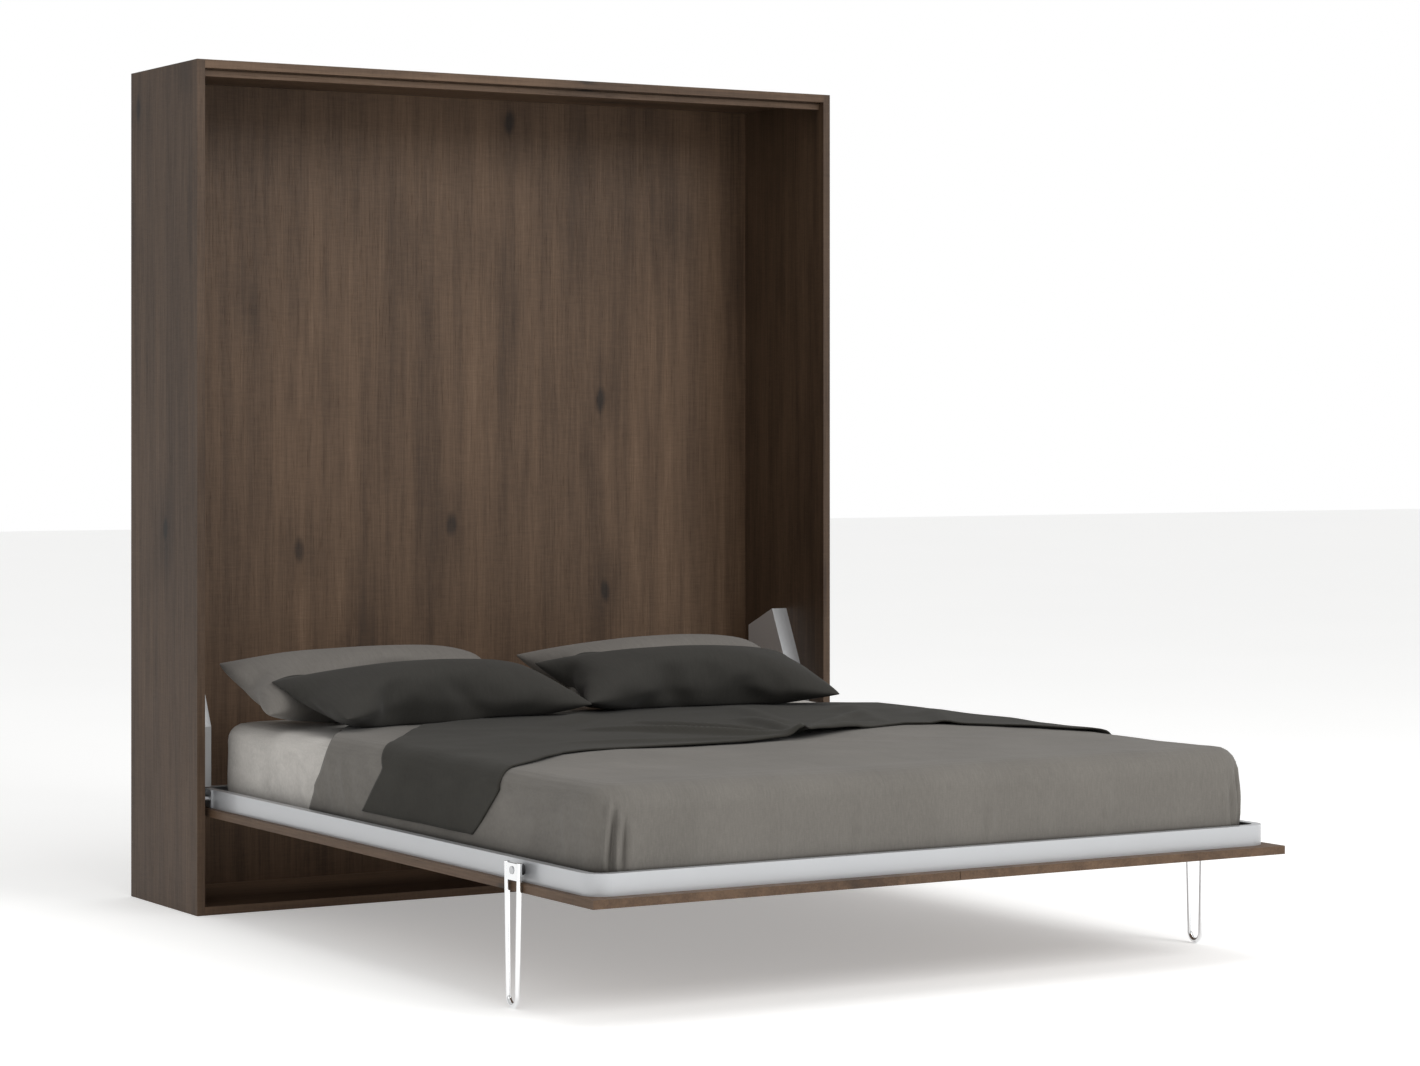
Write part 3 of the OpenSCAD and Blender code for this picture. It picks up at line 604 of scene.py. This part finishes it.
mesh = bmesh.new()
bmesh.ops.create_grid(mesh, x_segments=200, y_segments=84, size=0.5)
for vert in mesh.verts:
    run = (vert.co.x + 0.5) * whole_run
    share = vert.co.y + 0.5
    x, z = path_at(run)
    rear = np.interp(run, *zip(*REAR))
    near = np.interp(run, *zip(*FRONT))
    vert.co = (x, near + (rear - near) * share + TO_ROW, z)
bmesh.ops.recalc_face_normals(mesh, faces=mesh.faces)
throw = keep_mesh("throw_blanket", mesh, throw_cotton)
pinch = (0.075, -0.425, top_z)
folds = [
    (pinch, (-0.26, -0.02, top_z), 0.020, 0.016), (pinch, (-0.05, 0.10, top_z), 0.018, 0.014),
    (pinch, (0.20, 0.05, top_z), 0.018, 0.018), (pinch, (0.48, 0.00, top_z), 0.022, 0.014),
    (pinch, (0.40, -0.20, top_z), 0.020, 0.014), (pinch, (-0.45, -0.30, top_z), 0.022, 0.007),
    ((0.43, -0.20, top_z), (0.62, 0.24, top_z), 0.030, 0.012),
    ((0.22, -0.10, top_z), (0.35, 0.32, top_z), 0.028, 0.012),
    ((0.55, -0.30, top_z), (0.74, 0.05, top_z), 0.030, 0.010),
    ((-0.25, 0.10, top_z), (-0.02, 0.40, top_z), 0.035, 0.008),
    ((-0.62, -0.35, top_z), (-0.35, 0.15, top_z), 0.045, 0.005),
    ((-0.80, -0.45, hem_z), (-0.70, -0.30, top_z), 0.030, 0.003),
]
ruffle(throw, folds, [(0.26, 0.004, 5), (0.10, 0.0018, 6)])
points, _ = points_of(throw)
points[:, 2] = np.where(np.abs(points[:, 0]) < half_width - EDGE_ROLL, np.maximum(points[:, 2], top_z - 0.001),
                        points[:, 2])
set_points(throw, points)
wall = throw.modifiers.new("cloth_thickness", "SOLIDIFY")
wall.thickness = 0.0035
wall.offset = 0
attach(throw, "bed")
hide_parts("throw")

# %% [markdown]
# ## The pillows
# A pillow is two flat rectangles sewn together and filled, so its sides draw in between the corners
# and its seams pucker. Blender's Cloth gives exactly that: a thin flat bag is blown up by an inner
# pressure with gravity off. The blown shape is then brought to the pillow's size, tipped, laid down,
# and pressed flat against what is under it.

# %% Fill a pillow
def sewn_bag(name, length, depth, finish, seed):
    """Two flat panels joined all round, as a pillow is before it is filled."""
    mesh = bmesh.new()
    bmesh.ops.create_grid(mesh, x_segments=68, y_segments=36, size=0.5)
    bmesh.ops.scale(mesh, vec=(length, depth, 1), verts=mesh.verts)
    bmesh.ops.solidify(mesh, geom=mesh.faces[:], thickness=0.010)
    bmesh.ops.translate(mesh, vec=(0, 0, -sum(v.co.z for v in mesh.verts) / len(mesh.verts)), verts=mesh.verts)
    bmesh.ops.recalc_face_normals(mesh, faces=mesh.faces)
    for vert in mesh.verts:
        uneven = noise.noise(Vector((vert.co.x * 9, vert.co.y * 9, seed)))
        vert.co.z += 0.004 * uneven
        vert.co.y += 0.004 * noise.noise(Vector((vert.co.x * 14, seed, 0)))
    return keep_mesh(name, mesh, finish)


def calm(made, times, share=0.5):
    """Smooths a piece's small dents."""
    mesh = bmesh.new()
    mesh.from_mesh(made.data)
    for _ in range(times):
        bmesh.ops.smooth_vert(mesh, verts=mesh.verts, factor=share, use_axis_x=True, use_axis_y=True,
                              use_axis_z=True)
    mesh.to_mesh(made.data)
    mesh.free()
    made.data.update()


def blow_up(made, frames=22, pressure=5.0):
    """Blows a bag up with Cloth, keeps the result and removes the Cloth."""
    cloth = made.modifiers.new("fill", "CLOTH")
    rules = cloth.settings
    rules.quality = 6
    rules.mass = 0.25
    rules.tension_stiffness = 22
    rules.compression_stiffness = 14
    rules.shear_stiffness = 9
    rules.bending_stiffness = 1.5
    rules.use_pressure = True
    rules.uniform_pressure_force = pressure
    rules.effector_weights.gravity = 0
    cloth.point_cache.frame_start, cloth.point_cache.frame_end = 1, frames
    for step in range(1, frames + 1):
        bpy.context.scene.frame_set(step)
    blown = made.evaluated_get(bpy.context.evaluated_depsgraph_get())
    points = np.array([v.co for v in blown.data.vertices], float)
    made.modifiers.remove(cloth)
    bpy.context.scene.frame_set(1)
    set_points(made, points)
    calm(made, 14)


def fit_size(made, length, depth, height):
    """Brings a blown bag to the pillow's own size, centred on the origin."""
    points, _ = points_of(made)
    low, high = points.min(0), points.max(0)
    points = (points - (low + high) / 2) * np.array([length, depth, height]) / (high - low)
    set_points(made, points)
    return [round(float(a), 3) for a in high - low]


def ground_under(places, below):
    """The height of the highest of some pieces under each place, or a low value where there is none."""
    depsgraph = bpy.context.evaluated_depsgraph_get()
    trees = [BVHTree.FromObject(piece, depsgraph) for piece in below]
    heights = []
    for x, y in places:
        hits = [tree.ray_cast(Vector((x, y, 2)), Vector((0, 0, -1)))[0] for tree in trees]
        heights.append(max([hit.z for hit in hits if hit], default=-1.0))
    return np.array(heights)


def lay_down(made, centre, tip, swing, below, bend=0.0, press=0.45):
    """Tips and turns a pillow, sets it in its place and presses it on what is below."""
    points, _ = points_of(made)
    local_height = points[:, 2].copy()
    points[:, 2] += bend * (points[:, 0] / 0.37) ** 2
    turn = Matrix.Rotation(math.radians(swing), 3, "Z") @ Matrix.Rotation(math.radians(tip), 3, "X")
    points = points @ np.array(turn).T + np.array(centre)
    floor_height = ground_under(points[:, :2], below)
    points[:, 2] = np.maximum(points[:, 2], floor_height + 0.0015 + press * np.clip(local_height, 0, None))
    set_points(made, points)
    calm(made, 2, 0.35)


# %% Four pillows
PILLOWS = [
    # name, node, finish, slot, centre, tip, swing, fullness, seed
    ("pillow_grey_left", "pillow_light_left", grey_cotton, "pillow_grey", (-0.468, 0.640, 0.538), 17, 0, 0.185, 1),
    ("pillow_grey_right", "pillow_light_right", grey_cotton, "pillow_grey", (0.345, 0.645, 0.538), 17, 0, 0.185, 2),
    ("pillow_charcoal_left", "pillow_dark_left", charcoal_cotton, "pillow_charcoal",
     (-0.412, 0.430, 0.526), 11, 5, 0.160, 3),
    ("pillow_charcoal_right", "pillow_dark_right", charcoal_cotton, "pillow_charcoal",
     (0.305, 0.460, 0.534), 13, -5, 0.160, 4),
]
PILLOW_LENGTH, PILLOW_DEPTH = 0.690, 0.345
BAG_LENGTH, BAG_DEPTH = 0.76, 0.42
laid = []
for name, node, finish, slot, centre, tip, swing, fullness, seed in PILLOWS:
    pillow = sewn_bag(name, BAG_LENGTH, BAG_DEPTH, finish, seed * 3.7)
    blow_up(pillow)
    blown_size = fit_size(pillow, PILLOW_LENGTH, PILLOW_DEPTH, fullness)
    lay_down(pillow, centre, tip, swing, [mattress, duvet, throw] + laid)
    laid.append(pillow)
    rounder = pillow.modifiers.new("rounder", "SUBSURF")
    rounder.levels = rounder.render_levels = 1
    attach(pillow, "bed")
    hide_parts(node)
    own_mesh(pillow)
    points, _ = points_of(pillow)
    hinge = np.hypot(points[:, 1] - 0.67725, points[:, 2] - 0.18625).max()
    print(name, "reach from the hinge", hinge.round(4), "blown to", blown_size, "low", points.min(0).round(3), "high", points.max(0).round(3))

# %% [markdown]
# ## The floor
# The floor is a large pale plane just under the cabinet. It is part of the stage, so it never counts
# as a piece of the bed.

# %% Floor
mesh = bmesh.new()
bmesh.ops.create_grid(mesh, x_segments=1, y_segments=1, size=30)
bmesh.ops.translate(mesh, vec=(0, 0, cad_low.z - 0.0005), verts=mesh.verts)
pale = Finish("pale_floor", Specular_IOR_Level=0.2)
pale.shader.inputs["Emission Strength"].default_value = 0.32
pale.use(Base_Color=pale.mix(pale.cloud(0.8, 2), (0.90, 0.90, 0.89), (0.94, 0.94, 0.93)), Roughness=0.8,
         Emission_Color=(1, 1, 1, 1))
floor = keep_mesh("floor", mesh, pale.material, smooth=False)
print("floor at", round(cad_low.z - 0.0005, 4))
